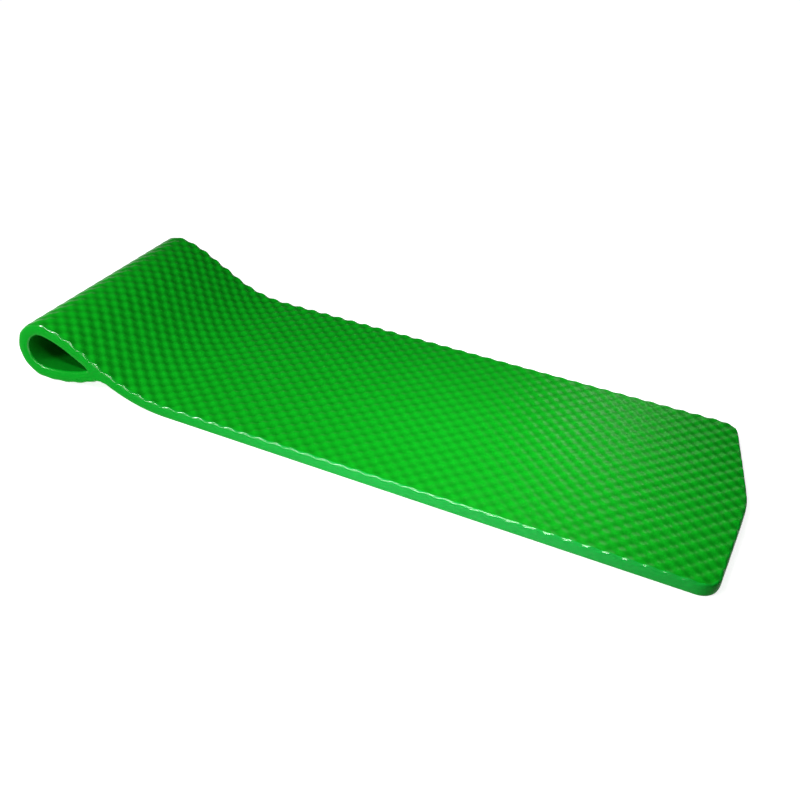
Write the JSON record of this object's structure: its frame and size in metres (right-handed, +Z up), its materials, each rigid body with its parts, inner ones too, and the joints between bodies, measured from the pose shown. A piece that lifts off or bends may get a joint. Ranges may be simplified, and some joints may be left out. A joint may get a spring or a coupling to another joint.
{
  "type": "pool float",
  "caption": "Long foam pool float with a bumpy vinyl skin, its head end rolled under and bonded into a pillow with an open tunnel.",
  "frame": {"origin": "on the floor, under the middle of the float's length and width", "axes": "+X along the float from the pillow to the foot, +Y across it, +Z up"},
  "size_m": [1.7778, 0.66, 0.1583],
  "materials": {
    "foam": "matt closed-cell foam",
    "adhesive": "cured contact adhesive",
    "face_vinyl": "soft semi-gloss vinyl over bumps",
    "plain_vinyl": "soft semi-gloss vinyl, plain",
    "edge_vinyl": "soft semi-gloss vinyl, plain, a little lighter"
  },
  "bodies": {
    "root": {"foam_core": "foam", "pillow_bond": "adhesive", "top_coat": "face_vinyl", "underside_coat": "plain_vinyl", "roll_lining": "plain_vinyl", "edge_coat": "edge_vinyl"}
  },
  "joints": []
}
